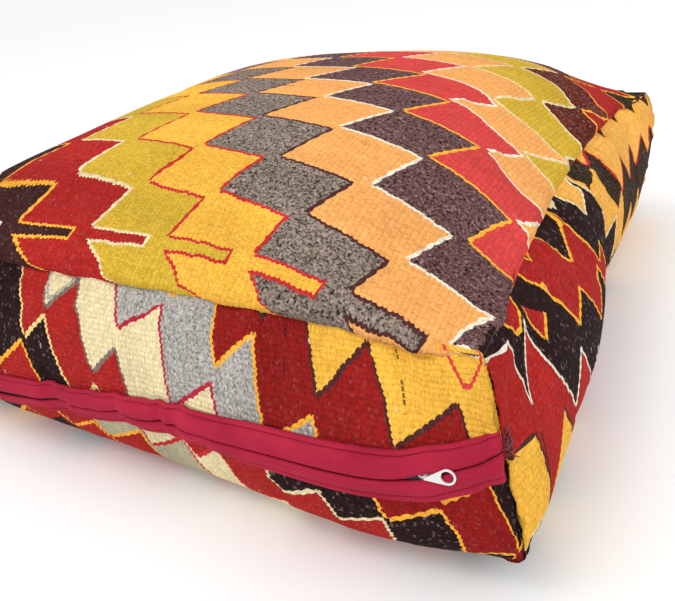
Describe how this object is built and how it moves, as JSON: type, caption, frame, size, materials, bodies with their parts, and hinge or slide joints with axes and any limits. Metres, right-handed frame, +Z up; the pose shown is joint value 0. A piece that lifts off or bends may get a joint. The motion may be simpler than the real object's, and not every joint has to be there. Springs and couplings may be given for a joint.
{
  "type": "kilim pouf",
  "caption": "Square filled floor pouf in patterned flat-woven kilim, with a crowned top, full side walls and a zip under two twill flaps along the front wall.",
  "frame": {"origin": "middle of the footprint, on the surface that the pouf stands on", "axes": "+Z up, -Y towards the wall with the zip, +X to the right of someone facing that wall"},
  "size_m": [0.5714, 0.5876, 0.2283],
  "materials": {
    "top_kilim": "weft-faced flat-woven wool in golden yellow, red, orange, grey and brown fields",
    "front_kilim": "weft-faced flat-woven wool in red, cream, grey, yellow and brown fields",
    "side_kilim": "weft-faced flat-woven wool in brown, red and orange fields",
    "bottom_cloth": "plain dark brown cotton canvas",
    "flap_twill": "crimson cotton twill",
    "zip_tape": "woven dark zip tape",
    "zip_teeth": "coiled plastic zip teeth",
    "zip_metal": "white enamelled metal"
  },
  "bodies": {
    "root": {"top_panel": "top_kilim", "front_upper_strip": "front_kilim", "front_lower_strip": "front_kilim", "right_side_panel": "side_kilim", "back_side_panel": "side_kilim", "left_side_panel": "side_kilim", "bottom_panel": "bottom_cloth", "zip_tape": "zip_tape", "zip_teeth": "zip_teeth", "zip_flap_upper": "flap_twill", "zip_flap_lower": "flap_twill", "zip_slider": "zip_metal", "zip_pull": "zip_metal"}
  },
  "joints": []
}
